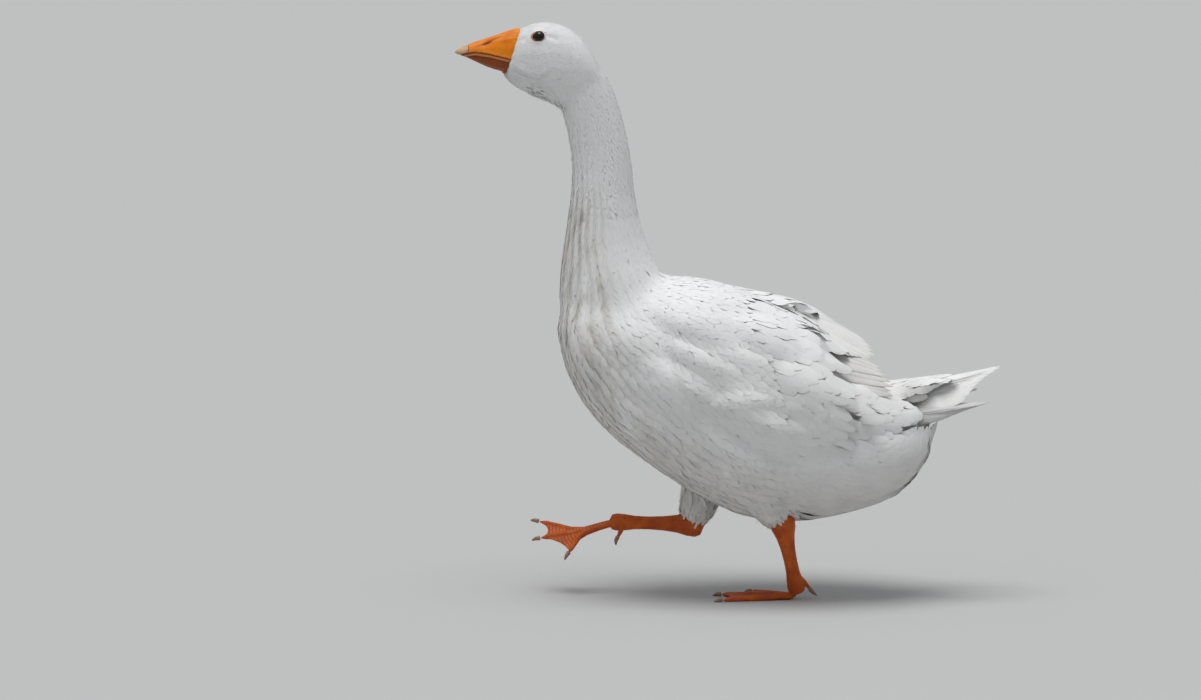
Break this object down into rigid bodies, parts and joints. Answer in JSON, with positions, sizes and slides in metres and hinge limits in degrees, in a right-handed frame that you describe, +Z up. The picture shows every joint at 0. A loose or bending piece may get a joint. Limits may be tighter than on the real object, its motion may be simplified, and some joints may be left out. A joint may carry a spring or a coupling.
{
  "type": "domestic goose",
  "caption": "White domestic goose in mid-stride, standing on its left foot with the right one lifted, neck upright, orange bill and legs.",
  "frame": {"origin": "on the floor, under the middle of the goose's box", "axes": "-X ahead, the way the goose faces; -Y towards its left side, +Z up"},
  "size_m": [0.684, 0.2374, 0.7232],
  "materials": {
    "plumage": "soft white feathers, matt, a little soiled on the neck",
    "bill": "smooth bright orange skin over horn, slightly glossy",
    "lower_bill": "smooth darker orange skin over horn",
    "horn": "pale horn, slightly glossy",
    "eye": "wet, very dark brown",
    "leg_skin": "scaly orange skin, satin"
  },
  "bodies": {
    "root": {"head": "plumage", "neck_upper": "plumage", "neck_lower": "plumage", "trunk": "plumage", "upper_bill": "bill", "lower_bill": "lower_bill", "bill_nail": "horn", "left_eye": "eye", "right_eye": "eye", "left_wing": "plumage", "right_wing": "plumage", "left_flight_feathers": "plumage", "right_flight_feathers": "plumage", "tail": "plumage", "tail_left": "plumage", "tail_right": "plumage", "left_thigh": "plumage", "right_thigh": "plumage", "left_shank": "leg_skin", "right_shank": "leg_skin", "left_foot": "leg_skin", "right_foot": "leg_skin", "left_inner_claw": "horn", "left_middle_claw": "horn", "left_outer_claw": "horn", "left_hind_claw": "horn", "right_inner_claw": "horn", "right_middle_claw": "horn", "right_outer_claw": "horn", "right_hind_claw": "horn"}
  },
  "joints": []
}
